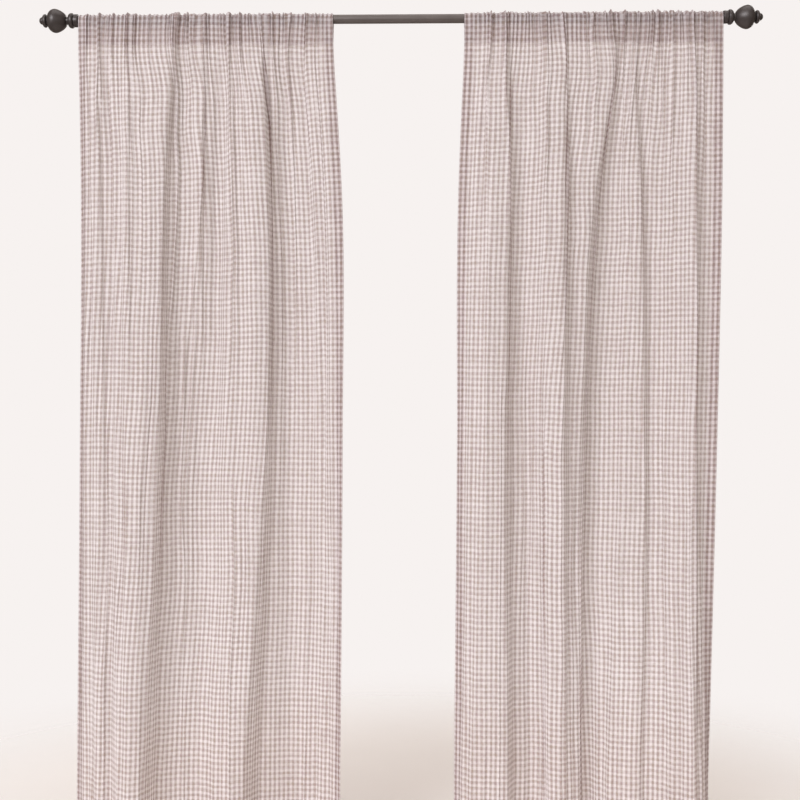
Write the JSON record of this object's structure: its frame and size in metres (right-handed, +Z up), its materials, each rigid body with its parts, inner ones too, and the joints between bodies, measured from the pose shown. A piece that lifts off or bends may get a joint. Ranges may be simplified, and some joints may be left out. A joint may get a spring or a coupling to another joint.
{
  "type": "pair of sheer curtain panels on a curtain rod",
  "caption": "Sheer gingham rod-pocket curtain panels hanging in uneven folds from a round rod with ball finials.",
  "frame": {"origin": "the middle of the rod's axis", "axes": "+X along the rod to the right as seen from the room, +Y towards the wall, +Z up"},
  "size_m": [2.063, 0.2241, 2.4321],
  "materials": {
    "rod_paint": "satin dark bronze paint",
    "finial_paint": "satin dark bronze paint",
    "voile": "sheer slubbed voile woven in a small off-white and taupe gingham"
  },
  "bodies": {
    "root": {"rod": "rod_paint", "finial_left": "finial_paint", "finial_right": "finial_paint", "panel_left": "voile", "panel_right": "voile"}
  },
  "joints": []
}
